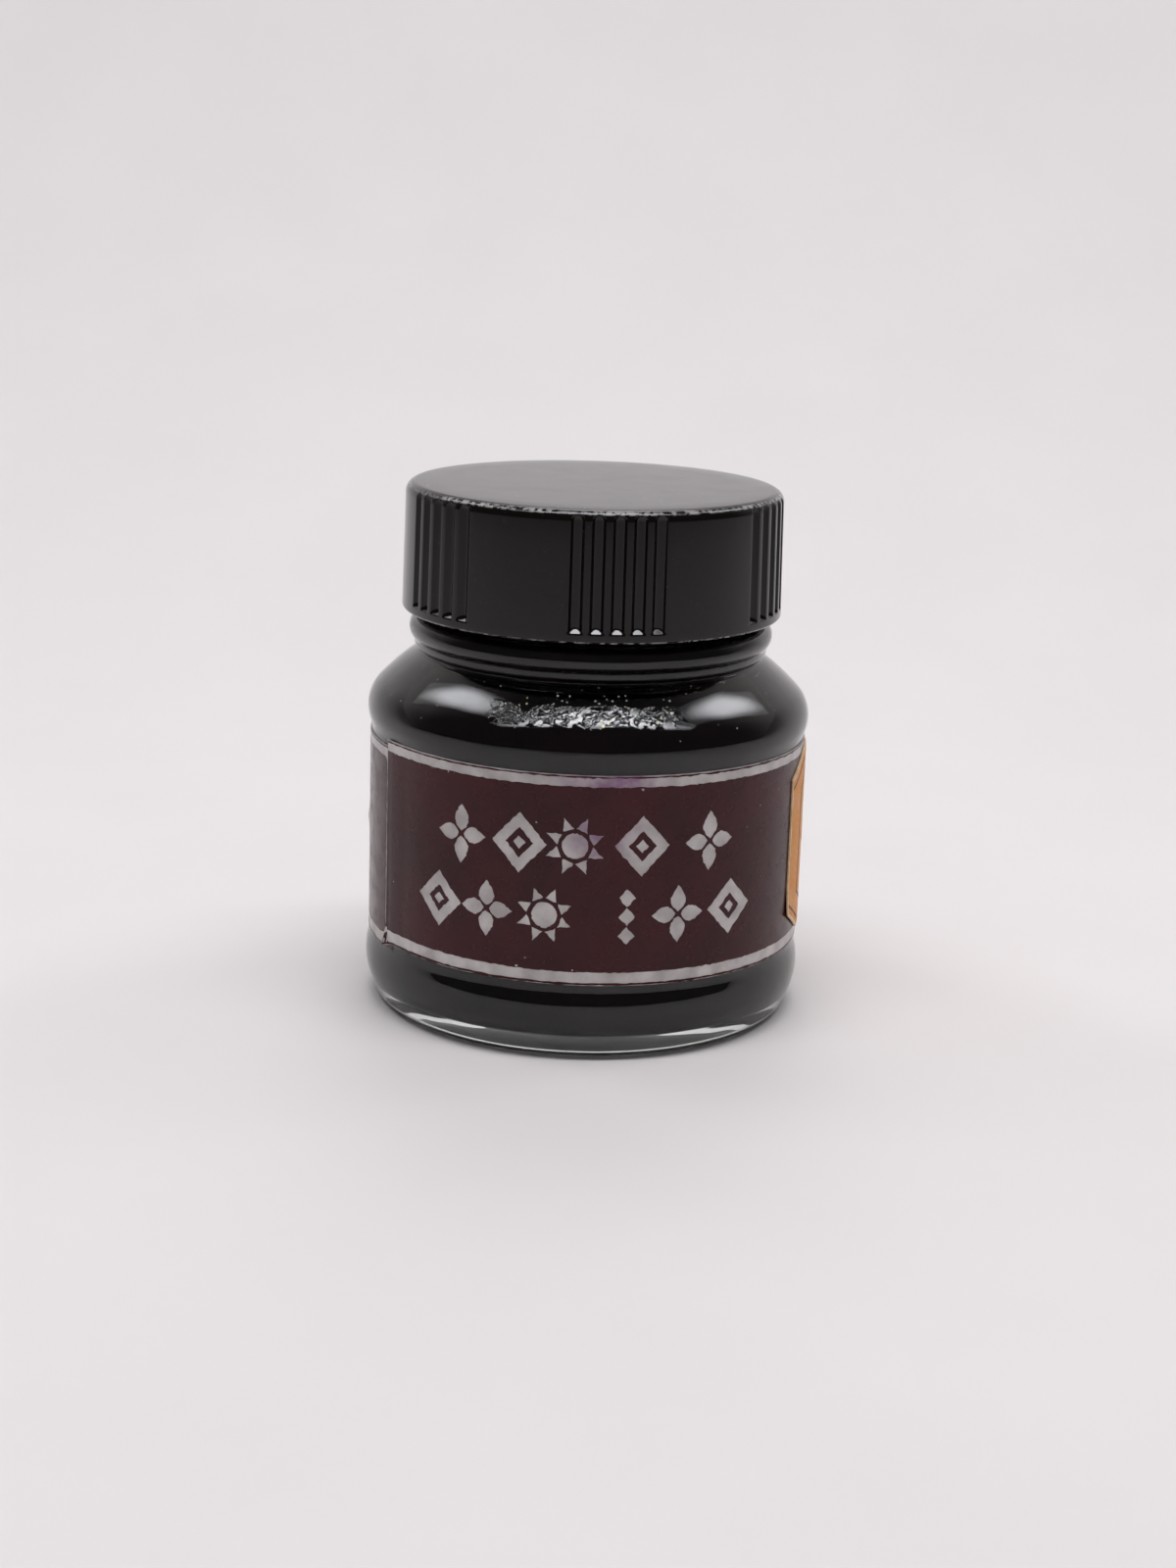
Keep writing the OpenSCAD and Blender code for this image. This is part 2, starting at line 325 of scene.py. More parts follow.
# %% Screw ridge tree
def screw_ridge_tree():
    tree, given = new_tree("screw ridge", {
        "Wall Radius": 0.01, "Crest Radius": 0.01, "Start Angle": 0.0, "Run": 1.0, "Pitch": 0.001,
        "Height At Zero": 0.0, "Root Half Width": 0.001, "Crest Half Width": 0.0005, "Fade": 0.5})
    size = given.outputs
    place = add(tree, "ShaderNodeSeparateXYZ", {}, {0: add(tree, "GeometryNodeInputPosition")})
    x, y, z = place.outputs
    flat = add(tree, "ShaderNodeCombineXYZ", {}, (x, y))
    radius = add(tree, VECTOR, "LENGTH", {0: flat}).outputs["Value"]
    angle = add(tree, MATH, "ARCTAN2", (y, x))
    after_start = add(tree, MATH, "SUBTRACT", (angle, size["Start Angle"]))
    first_turn = add(tree, MATH, "FLOORED_MODULO", (after_start, TURN))
    heights = []
    for turn in (0, 1):  # a ridge longer than one turn passes some directions twice
        along = add(tree, MATH, "ADD", (first_turn, turn * TURN))
        total = add(tree, MATH, "ADD", (along, size["Start Angle"]))
        turns = add(tree, MATH, "DIVIDE", (total, TURN))
        middle = add(tree, MATH, "MULTIPLY_ADD", (turns, size["Pitch"], size["Height At Zero"]))
        off = add(tree, MATH, "SUBTRACT", (z, middle))
        off = add(tree, MATH, "ABSOLUTE", {0: off})
        flank = add(tree, RAMP, {"interpolation_type": "SMOOTHSTEP"}, {
            "Value": off, "From Min": size["Crest Half Width"], "From Max": size["Root Half Width"],
            "To Min": 1.0, "To Max": 0.0})
        rise = add(tree, MATH, {"operation": "DIVIDE", "use_clamp": True}, (along, size["Fade"]))
        left = add(tree, MATH, "SUBTRACT", (size["Run"], along))
        fall = add(tree, MATH, {"operation": "DIVIDE", "use_clamp": True}, (left, size["Fade"]))
        share = add(tree, MATH, "MINIMUM", (rise, fall))
        heights.append(add(tree, MATH, "MULTIPLY", (flank, share)))
    height = add(tree, MATH, "MAXIMUM", (heights[0], heights[1]))
    on_wall = add(tree, MATH, "COMPARE", (radius, size["Wall Radius"], 0.06 * MM))
    height = add(tree, MATH, "MULTIPLY", (height, on_wall))
    depth = add(tree, MATH, "SUBTRACT", (size["Crest Radius"], size["Wall Radius"]))
    move = add(tree, MATH, "MULTIPLY", (height, depth))
    way = add(tree, VECTOR, "NORMALIZE", {0: flat})
    shift = add(tree, VECTOR, "SCALE", {0: way, "Scale": move})
    moved = add(tree, "GeometryNodeSetPosition", {}, {"Geometry": size["Geometry"], "Offset": shift})
    return close_tree(tree, given, moved)


screw_ridge = screw_ridge_tree()
THREAD_PITCH, THREAD_Z = 4.23, 39.4  # the glass ridge's middle passes this height in the direction +X
THREAD_SHAPE = {"Pitch": THREAD_PITCH * MM, "Root Half Width": 1.15 * MM, "Crest Half Width": 0.42 * MM,
                "Run": math.radians(392), "Fade": math.radians(40)}
print("screw ridge tree:", len(screw_ridge.nodes), "nodes")

# %% Glass body
GLASS_ANGLES = [TURN * j / 180 for j in range(180)]


def make_bottle():
    bottle = turned("bottle_body", profile, GLASS_ANGLES)
    run_tree(bottle, screw_ridge, dict(THREAD_SHAPE, **{
        "Wall Radius": NECK_R * MM, "Crest Radius": THREAD_R * MM, "Start Angle": math.radians(3),
        "Height At Zero": THREAD_Z * MM}))
    return outwards(bottle, 50)


bottle = make_bottle()

# %% [markdown]
# ## The ink
# The ink fills the hollow up into the neck.  Its skin is set a hair inside the
# glass, so that no film of air is left between them: an air gap would turn the wall
# into a mirror, and the bottle would look empty and silvery.  At the neck it climbs
# the wall a little, as a wetting liquid does.

# %% Ink body
INK_Z, MENISCUS, SUNK = 36.5, 0.7, 0.03


def make_ink():
    """The same rows and columns as the glass has inside, sunk a hair into it."""
    highest = max(range(len(profile)), key=lambda i: profile[i][1])
    inside = profile[highest + 1:]
    rows = []
    for (r0, z0), (r1, z1), (r2, z2) in zip(inside, inside[1:], inside[2:]):
        if z1 < INK_Z + MENISCUS - 0.1:
            length = math.hypot(r2 - r0, z2 - z0)
            rows.append((r1 - SUNK * (z2 - z0) / length, z1 + SUNK * (r2 - r0) / length))
    climb = [(MOUTH_R + SUNK - d, INK_Z + MENISCUS * math.exp(-d / 0.7))
             for d in (2.5, 1.7, 1.1, 0.7, 0.4, 0.15, 0.0)]
    line = [(0, INK_Z)] + climb + rows + [(0, FLOOR_Z - SUNK)]
    return outwards(turned("ink_fill", line, GLASS_ANGLES), 40)


ink = make_ink()

# %% [markdown]
# ## The cap
# The cap is pressed from phenolic powder in a hot steel mould.  Its grip is six
# groups of five flutes, each cut by the same round-ended cutter, with smooth panels
# between them.  Since every flute is the same cutter turned by a rule, a tree can
# carve them all: each point finds its nearest flute and moves in to the cutter's
# face, with a soft minimum where the mould's own edges would be rounded.

# %% Flute tree
def flute_tree():
    tree, given = new_tree("cap flutes", {
        "Cap Radius": 0.01, "Rim Height": 0.0, "Draft": 0.01, "Groups": 6, "Flutes Per Group": 5,
        "Flute Step": 0.1, "First Middle": 0.0, "Cutter Radius": 0.001, "Flute Depth": 0.0005,
        "Ledge Height": 0.0, "Ball Height": 0.0, "Edge Blend": 0.0001})
    size = given.outputs
    place = add(tree, "ShaderNodeSeparateXYZ", {}, {0: add(tree, "GeometryNodeInputPosition")})
    x, y, z = place.outputs
    flat = add(tree, "ShaderNodeCombineXYZ", {}, (x, y))
    radius = add(tree, VECTOR, "LENGTH", {0: flat}).outputs["Value"]
    angle = add(tree, MATH, "ARCTAN2", (x, add(tree, MATH, "MULTIPLY", (y, -1))))
    from_middle = add(tree, MATH, "SUBTRACT", (angle, size["First Middle"]))
    # the nearest group, then the nearest flute in it
    group_step = add(tree, MATH, "DIVIDE", (TURN, size["Groups"]))
    group = add(tree, MATH, "ROUND", {0: add(tree, MATH, "DIVIDE", (from_middle, group_step))})
    group_angle = add(tree, MATH, "MULTIPLY", (group, group_step))
    local = add(tree, MATH, "SUBTRACT", (from_middle, group_angle))
    flute = add(tree, MATH, "ROUND", {0: add(tree, MATH, "DIVIDE", (local, size["Flute Step"]))})
    last = add(tree, MATH, "MULTIPLY_ADD", (size["Flutes Per Group"], 0.5, -0.5))
    first = add(tree, MATH, "MULTIPLY", (last, -1))
    flute = add(tree, MATH, "MINIMUM", (flute, last))
    flute = add(tree, MATH, "MAXIMUM", (flute, first))
    flute_angle = add(tree, MATH, "MULTIPLY", (flute, size["Flute Step"]))
    aside = add(tree, MATH, "SUBTRACT", (local, flute_angle))
    # the wall leans in with the mould's draft, and the cutter with it
    over_rim = add(tree, MATH, "SUBTRACT", (z, size["Rim Height"]))
    lean = add(tree, MATH, "MULTIPLY", (over_rim, size["Draft"]))
    wall = add(tree, MATH, "SUBTRACT", (size["Cap Radius"], lean))
    # the cutter's face in that direction: a cylinder with a ball at its upper end
    outer = add(tree, MATH, "ADD", (wall, size["Cutter Radius"]))
    axis_r = add(tree, MATH, "SUBTRACT", (outer, size["Flute Depth"]))
    over = add(tree, MATH, "SUBTRACT", (z, size["Ball Height"]))
    over = add(tree, MATH, "MAXIMUM", (over, 0.0))
    over2 = add(tree, MATH, "MULTIPLY", (over, over))
    cutter2 = add(tree, MATH, "MULTIPLY", (size["Cutter Radius"], size["Cutter Radius"]))
    side = add(tree, MATH, "MULTIPLY", (add(tree, MATH, "SINE", {0: aside}), axis_r))
    side2 = add(tree, MATH, "MULTIPLY", (side, side))
    left = add(tree, MATH, "SUBTRACT", (add(tree, MATH, "SUBTRACT", (cutter2, over2)), side2))
    left = add(tree, MATH, "MAXIMUM", (left, 0.0))
    reach = add(tree, MATH, "SQRT", {0: left})
    within = add(tree, MATH, "MINIMUM", (add(tree, MATH, "ABSOLUTE", {0: aside}), size["Flute Step"]))
    face = add(tree, MATH, "MULTIPLY", (add(tree, MATH, "COSINE", {0: within}), axis_r))
    face = add(tree, MATH, "SUBTRACT", (face, reach))
    kept = add(tree, MATH, "SMOOTH_MIN", (radius, face, size["Edge Blend"]))
    # a ledge that slopes at 45 degrees closes each flute at its foot
    above = add(tree, MATH, "SUBTRACT", (z, size["Ledge Height"]))
    slope = add(tree, MATH, "SUBTRACT", (wall, above))
    kept = add(tree, MATH, "SMOOTH_MAX", (kept, slope, 0.05 * MM))
    cut = add(tree, MATH, "SUBTRACT", (kept, radius))
    cut = add(tree, MATH, "MINIMUM", (cut, 0.0))
    shift = add(tree, VECTOR, "SCALE", {0: add(tree, VECTOR, "NORMALIZE", {0: flat}), "Scale": cut})
    moved = add(tree, "GeometryNodeSetPosition", {}, {"Geometry": size["Geometry"], "Offset": shift})
    return close_tree(tree, given, moved)


flutes = flute_tree()
print("flute tree:", len(flutes.nodes), "nodes")

# %% Cap
CAP_R, CAP_TOP_R, RIM_Z, TOP_Z, CAP_ROUND, RIM_CORNER = 17.55, 17.35, 37.15, 48.75, 1.0, 0.2
BORE_R, CREST_R, RELIEF_R, RELIEF_Z, ROOF_Z = 16.25, 15.15, 15.2, 45.0, 47.03
GROUPS, FLUTES, FLUTE_STEP, FLUTE_MIDDLE = 6, 5, 6.0, 7.5
LEDGE_Z, BALL_Z, CUTTER_R, FLUTE_DEPTH, FLUTE_BLEND = 38.0, 47.85, 0.64, 0.46, 0.1


def cap_profile():
    line = [(0, TOP_Z), (15.5, TOP_Z)]
    line += arc((CAP_TOP_R - CAP_ROUND, TOP_Z - CAP_ROUND), CAP_ROUND, 90, 0, 16)
    line += [(CAP_R, RIM_Z + RIM_CORNER), (CAP_R - RIM_CORNER, RIM_Z), (BORE_R + RIM_CORNER, RIM_Z),
             (BORE_R, RIM_Z + RIM_CORNER), (BORE_R, RELIEF_Z), (RELIEF_R, RELIEF_Z), (RELIEF_R, ROOF_Z),
             (0, ROOF_Z)]
    line = softened(resampled(line, 0.06), 3)

    def longest(p):
        """No long face may run into the ledges' heights, or the flutes would flare there."""
        outside, over_ledge = p[0] > CAP_TOP_R - 0.9, p[1] - (LEDGE_Z + 0.6)
        if outside and over_ledge > 0:
            return 0.07 if p[1] > BALL_Z - 0.1 else max(0.05, min(2.4, over_ledge))
        if outside and p[1] > LEDGE_Z - 0.15:
            return 0.05
        return 0.3 if abs(p[0] - BORE_R) < 0.05 else 2.4
    return thinned(line, 0.003, longest)


def cap_angles():
    """0.4 degrees apart across the flutes, two degrees apart on the panels."""
    across = []
    for g in range(GROUPS):
        middle = FLUTE_MIDDLE + g * 360 / GROUPS - 90
        across += [middle + 0.4 * k for k in range(-40, 41)]
        across += [middle + 16 + 2 * k for k in range(1, 14)]
    return [math.radians(a) for a in across]


def make_cap():
    cap = turned("cap_moulding", cap_profile(), cap_angles())
    run_tree(cap, flutes, {
        "Cap Radius": CAP_R * MM, "Rim Height": RIM_Z * MM, "Draft": (CAP_R - CAP_TOP_R) / (TOP_Z - RIM_Z),
        "Groups": GROUPS, "Flutes Per Group": FLUTES, "Flute Step": math.radians(FLUTE_STEP),
        "First Middle": math.radians(FLUTE_MIDDLE), "Cutter Radius": CUTTER_R * MM,
        "Flute Depth": FLUTE_DEPTH * MM, "Ledge Height": LEDGE_Z * MM, "Ball Height": BALL_Z * MM,
        "Edge Blend": FLUTE_BLEND * MM})
    run_tree(cap, screw_ridge, dict(THREAD_SHAPE, **{
        "Wall Radius": BORE_R * MM, "Crest Radius": CREST_R * MM, "Start Angle": math.radians(91),
        "Run": math.radians(368), "Height At Zero": (THREAD_Z - 1.75) * MM}))
    return outwards(cap, 50)


cap = make_cap()

# %% [markdown]
# ## The liner
# A disc of pulpboard is pressed into the cap's recess, faced with a thin film where
# it meets the glass.  Months of a tight cap leave the print of the mouth in it, a
# shallow ring, so both layers are turned with that ring pressed up into them.

# %% Liner
LINER_R, FACING_Z, FACING_T, BOARD_T = 15.19, 46.01, 0.12, 0.9
PRESSED = 0.1  # how deep the mouth has pressed into the liner


def pressed_in(r):
    """Height by which the mouth's ring lifts the liner's face at a radius."""
    inner = max(0.0, min(1.0, (r - 12.5) / 0.5))
    outer = max(0.0, min(1.0, (14.9 - r) / 0.5))
    share = min(inner, outer)
    return PRESSED * share * share * (3 - 2 * share)


def liner_layer(name, low, high, follow):
    steps = [0.25 + i * (LINER_R - 0.35) / 60 for i in range(61)]
    below = [(0, low)] + [(r, low + pressed_in(r)) for r in steps]
    above = [(r, high + follow * pressed_in(r)) for r in reversed(steps)] + [(0, high)]
    line = below + [(LINER_R, low + 0.04), (LINER_R, high - 0.04)] + above
    return outwards(turned(name, line, [TURN * j / 96 for j in range(96)]), 40)


board = liner_layer("liner_board_disc", FACING_Z + FACING_T, FACING_Z + FACING_T + BOARD_T - 0.01, 0.0)
facing = liner_layer("liner_facing_disc", FACING_Z, FACING_Z + FACING_T, 1.0)

# %% [markdown]
# ## Sheets that are cut flat and then rolled on
# Both labels are printed and cut flat, then rolled on the glass.  They are made the
# same way here.  Outlines, windows and grid lines go into one triangulation in the
# flat, each triangle is kept or dropped by whether its middle is printed, and the
# rest is rolled on as a thin closed shell.  A window in the lacquer is then a real
# hole with the foil behind it, and stays sharp however near one looks.

# %% Flat sheets
def inside_count(ring, points):
    """How often each point is enclosed by a ring: 0 or 1 for each."""
    count = np.zeros(len(points), int)
    for (u0, v0), (u1, v1) in zip(ring, ring[1:] + ring[:1]):
        crosses = (points[:, 1] < v0) != (points[:, 1] < v1)
        if v1 != v0:
            at = u0 + (points[:, 1] - v0) * (u1 - u0) / (v1 - v0)
            count += crosses & (points[:, 0] < at)
    return count % 2


def flat_triangles(rings, lines, flakes):
    """Triangles inside an odd number of rings and outside all flakes, split along the lines."""
    points, edges = [], []
    for ring in rings + flakes:
        first = len(points)
        points += [Vector(p) for p in ring]
        edges += [(first + i, first + (i + 1) % len(ring)) for i in range(len(ring))]
    for a, b in lines:
        edges.append((len(points), len(points) + 1))
        points += [Vector(a), Vector(b)]
    verts, _, faces, *_ = geometry.delaunay_2d_cdt(points, edges, [], 0, 1e-5, False)
    flat = np.array([tuple(v) for v in verts])
    middles = flat[np.array(faces)].mean(axis=1)
    kept = sum(inside_count(ring, middles) for ring in rings) % 2
    for flake in flakes:
        kept = kept * (1 - inside_count(flake, middles))
    return flat, [f for f, keep in zip(faces, kept) if keep]


def roll_normal(place, u, v):
    """The true normal of a rolled sheet at a flat point."""
    e = 0.02
    along = Vector(place(u + e, v, 0)) - Vector(place(u - e, v, 0))
    up = Vector(place(u, v + e, 0)) - Vector(place(u, v - e, 0))
    return along.cross(up).normalized()


def rolled_sheet(name, rings, lines, place, low, high, flakes=()):
    """Rolls a flat area on as a closed shell between two heights above its ground."""
    flat, triangles = flat_triangles(rings, lines, list(flakes))
    used = sorted({i for t in triangles for i in t})
    number = {i: k for k, i in enumerate(used)}
    n = len(used)
    points = [place(*flat[i], high) for i in used] + [place(*flat[i], low) for i in used]
    tops = [[number[i] for i in t] for t in triangles]
    faces = tops + [[i + n for i in reversed(t)] for t in tops]
    sides = {(t[i], t[(i + 1) % 3]) for t in tops for i in range(3)}
    faces += [(b, a, a + n, b + n) for a, b in sides if (b, a) not in sides]
    sheet = outwards(make_piece(name, points, faces), 35)
    # the facets take the normals of the true roll, so that no facet shows in the gloss
    normals = [roll_normal(place, *flat[i]) for i in used]
    corners = []
    for face in sheet.data.polygons:
        for vertex in face.vertices:
            top, under = all(i < n for i in face.vertices), all(i >= n for i in face.vertices)
            cut_edge = face.normal.copy()
            corners.append(normals[vertex] if top else -normals[vertex - n] if under else cut_edge)
    sheet.data.normals_split_custom_set(corners)
    return sheet


def box_ring(u0, v0, u1, v1):
    return [(u0, v0), (u1, v0), (u1, v1), (u0, v1)]


def round_ring(u, v, radius, count):
    turns = [TURN * i / count for i in range(count)]
    return [(u + radius * math.cos(t), v + radius * math.sin(t)) for t in turns]


def worn(ring, chance, step=0.28, size=0.03):
    """A printed outline as ink leaves it: no edge is quite straight."""
    line = resampled(ring + ring[:1], step)[:-1]
    return [(u + chance.gauss(0, size), v + chance.gauss(0, size)) for u, v in line]


# %% [markdown]
# ## The wound label
# The label is a strip of silver foil with black lacquer printed over it, wound once
# round the panel and stuck down on its own start.  What shines is foil that the
# lacquer leaves bare: a frame of two stripes and an upright, and two rows of plain
# shapes.  It was stuck on a little askew, its outer end is lifting at the foot, and
# the print has chipped.

# %% Wound label, where it lies
WRAP_FROM, WRAP_TOP, WRAP_H, WRAP_SKEW = -61.5, 26.35, 19.1, 0.7
WRAP_LAP, WRAP_FOIL, WRAP_T = 3.0, 0.1, 0.12
DEGREE = math.radians(1) * (PANEL_R + 0.11)  # millimetres of label in one degree
WRAP_LENGTH = (360 + WRAP_LAP) * DEGREE


def on_wrap(u, v, above):
    """A point of the wound label, u along it from its outer end and v up from its lower edge."""
    a = u / DEGREE
    climb = max(0.0, min(1.0, 1 - (a - WRAP_LAP) / 6))
    curl = max(0.0, 1 - u / 1.5 - v / 2.2)
    tear = math.exp(-((a - 336.5) / 1.8) ** 2 - ((v - 10.4) / 0.9) ** 2)
    r = PANEL_R + 0.01 + 0.13 * climb + 0.5 * curl ** 2 + 0.03 * math.exp(-u / 0.5) + 0.16 * tear + above
    t = math.radians(a + WRAP_FROM - 90)
    z = WRAP_TOP - WRAP_SKEW * a / 360 - WRAP_H + v - 0.35 * curl ** 2
    return (r * math.cos(t), r * math.sin(t), z)


def wrap_lines(step_u=2.0, step_v=None):
    """Lines that a sheet is split along, so that it bends round the glass."""
    count = math.ceil(WRAP_LENGTH / DEGREE / step_u)
    us = [0.4, 0.8, 1.2] + [i * step_u * DEGREE for i in range(1, count)]
    lines = [((u, -0.5), (u, WRAP_H + 0.5)) for u in us]
    if step_v:
        vs = [i * step_v for i in range(1, round(WRAP_H / step_v))]
        lines += [((-0.5, v), (WRAP_LENGTH + 0.5, v)) for v in vs]
    return lines


def wrap_place(azimuth, z):
    """Flat place on the label of a direction from the front and a height."""
    a = azimuth - WRAP_FROM
    return a * DEGREE, z - (WRAP_TOP - WRAP_SKEW * a / 360 - WRAP_H)


# %% Foil strip
foil_ring = box_ring(0, 0, WRAP_LENGTH, WRAP_H)
foil = rolled_sheet("label_foil", [foil_ring], wrap_lines(2.0, 0.8), on_wrap, 0, WRAP_FOIL)

# %% Shapes left bare
STROKE = 1.05


def lozenge(u, v, w, h):
    """An open lozenge with a small solid one in it."""
    ring = lambda k: [(u + k * w / 2, v), (u, v + k * h / 2), (u - k * w / 2, v), (u, v - k * h / 2)]
    return [ring(1.0), ring(1 - 2.6 * STROKE / h), ring(0.22)]


def petals(u, v, w, h):
    """Four petals about a point."""
    rings = []
    for k in range(4):
        c, q = math.cos(TURN * k / 4), math.sin(TURN * k / 4)
        reach = (w if k % 2 == 0 else h) / 2 - 0.25
        side = [(0.25 + reach * t / 12, 0.74 * math.sin(math.pi * (t / 12) ** 0.8)) for t in range(13)]
        leaf = side + [(x, -y) for x, y in reversed(side[1:-1])]
        rings.append([(u + c * x - q * y, v + q * x + c * y) for x, y in leaf])
    return rings


def sun(u, v, w, h):
    """A disc with eight rays round it."""
    rings = [round_ring(u, v, 0.46 * STROKE * 2.4, 36)]
    for k in range(8):
        c, q = math.cos(TURN * (k + 0.5) / 8), math.sin(TURN * (k + 0.5) / 8)
        ray = [(1.5, -0.52), (h / 2, 0.0), (1.5, 0.52)]
        rings.append([(u + c * x - q * y, v + q * x + c * y) for x, y in ray])
    return rings


def stack(u, v, w, h):
    """Three small lozenges, one over the other."""
    return [[(u + w / 2, v + k), (u, v + k + h / 6.4), (u - w / 2, v + k), (u, v + k - h / 6.4)]
            for k in (-h / 3, 0, h / 3)]


UPPER_ROW = [(petals, -32.2), (lozenge, -16.2), (sun, -2.2), (lozenge, 14.6), (petals, 33.0)]
LOWER_ROW = [(lozenge, -39.0), (petals, -24.6), (sun, -9.4), (stack, 11.2), (petals, 24.6), (lozenge, 40.2)]


def bare_rings():
    chance = random.Random(7)
    rings = []
    for row, z, h in ((UPPER_ROW, 19.85, 5.5), (LOWER_ROW, 13.45, 5.2)):
        for shape, azimuth in row:
            u, v = wrap_place(azimuth, z)
            w = 1.5 if shape is stack else 5.0
            rings += [worn(ring, chance) for ring in shape(u, v, w, h)]
    return rings


def frame_ring():
    """The bare frame: a top stripe, an upright at the far end, and a bottom stripe."""
    chance = random.Random(11)
    end = 360 * DEGREE - 0.12
    top, bottom, upright, r = WRAP_H - 0.24, 0.22, 0.38, 0.55
    far = end - upright
    outer = [(0.05, top), (end, top), (end, bottom), (0.75, bottom), (0.42, bottom + 0.35),
             (0.4, bottom + 1.0)]
    inner = [(far - r, bottom + 1.0), (far - 0.16, bottom + 1.16), (far, bottom + 1.0 + r),
             (far, top - 0.8 - r), (far - 0.16, top - 0.96), (far - r, top - 0.8), (0.05, top - 0.8)]
    return worn(outer + inner, chance, 0.4, 0.028)


def chip_rings(count):
    """Small flakes lost from the lacquer, most of them near the shapes and the frame."""
    chance = random.Random(23)
    rings = []
    for _ in range(count):
        if chance.random() < 0.5:
            u = chance.uniform(1, WRAP_LENGTH - 2)
            v = chance.choice([1.35, WRAP_H - 1.1]) + chance.gauss(0, 0.12)
        else:
            u, v = chance.uniform(1, WRAP_LENGTH - 2), chance.uniform(2, WRAP_H - 2)
        size = chance.uniform(0.05, 0.16)
        rings.append([(u + size * chance.uniform(0.5, 1.4) * math.cos(TURN * k / 6),
                       v + size * chance.uniform(0.4, 1.0) * math.sin(TURN * k / 6)) for k in range(6)])
    return rings


# %% Lacquer
def make_lacquer():
    edge = worn(box_ring(0.06, 0.03, WRAP_LENGTH - 0.05, WRAP_H - 0.1), random.Random(3), 0.5, 0.018)
    rings = [edge, frame_ring()] + bare_rings()
    return rolled_sheet("label_lacquer", rings, wrap_lines(2.0), on_wrap, WRAP_FOIL, WRAP_T, chip_rings(46))


lacquer = make_lacquer()

# %% [markdown]
# ## The side label
# A coloured paper label sits on the wound one: cream paper, printed orange almost
# to its edge, with four dark corner strokes and a thin frame.  Its four corners are
# cut, and the foot corner nearest the front has begun to lift.

# %% Side label
SIDE_DIRECTION, SIDE_Z, SIDE_R, SIDE_W, SIDE_H, SIDE_CUT = 92.7, 16.75, 20.35, 18.0, 17.3, (4.0, 2.2)
PAPER_T, COLOUR_T, PRINT_T = 0.15, 0.165, 0.18  # the paper, then each ink on top of what it covers


def on_side(u, v, above):
    """A point of the side label, measured from its middle."""
    curl = max(0.0, (-u - 6.2) / 2.8 + (-v - 5.6) / 3.0) ** 2
    r = SIDE_R + above + 0.10 * curl
    t = math.radians(SIDE_DIRECTION - 90) + u / (SIDE_R + 0.09)
    return (r * math.cos(t), r * math.sin(t), SIDE_Z + v)


def cut_ring(inset_u, inset_v=None):
    """The label's eight-sided outline, moved in by an inset."""
    inset_v = inset_u if inset_v is None else inset_v
    w, h = SIDE_W / 2 - inset_u, SIDE_H / 2 - inset_v
    cu, cv = SIDE_CUT[0] - 0.35 * inset_u, SIDE_CUT[1] - 0.35 * inset_v
    return [(w, h - cv), (w - cu, h), (cu - w, h), (-w, h - cv),
            (-w, cv - h), (cu - w, -h), (w - cu, -h), (w, cv - h)]


def corner_stroke(su, sv):
    """A dark stroke along one cut corner."""
    w, h = SIDE_W / 2, SIDE_H / 2
    a, b = (w - 0.25, h - SIDE_CUT[1] - 0.75), (w - SIDE_CUT[0] - 0.2, h - 0.75)
    thick = 0.24
    ring = [a, b, (b[0], b[1] - thick), (a[0], a[1] - thick)]
    return [(su * u, sv * v) for u, v in ring]


side_lines = [((u, -9.5), (u, 9.5)) for u in [0.72 * k for k in range(-12, 13)]]
side_lines += [((-9.5, v), (9.5, v)) for v in [0.8 * k for k in range(-10, 11)]]
side_paper = rolled_sheet("side_label_paper", [cut_ring(0)], side_lines, on_side, 0, PAPER_T)
orange_ring = worn(cut_ring(0.26), random.Random(5), 0.5, 0.02)
side_colour = rolled_sheet("side_label_colour", [orange_ring], side_lines, on_side, PAPER_T, COLOUR_T)
dark_rings = [corner_stroke(su, sv) for su in (1, -1) for sv in (1, -1)]
dark_rings += [cut_ring(3.2, 2.2), cut_ring(3.4, 2.4)] + lozenge(0, 0, 6.5, 6.5)
side_print = rolled_sheet("side_label_print", dark_rings, side_lines, on_side, COLOUR_T, PRINT_T)

# %% [markdown]
# ## Dust
# A bottle that has stood on a shelf has dust on what faces up.  Each grain is a
# small pebble sunk into the surface under it.  A tree scatters them with a fixed
# seed, only where a face looks upwards, and turns them all into one plain mesh.

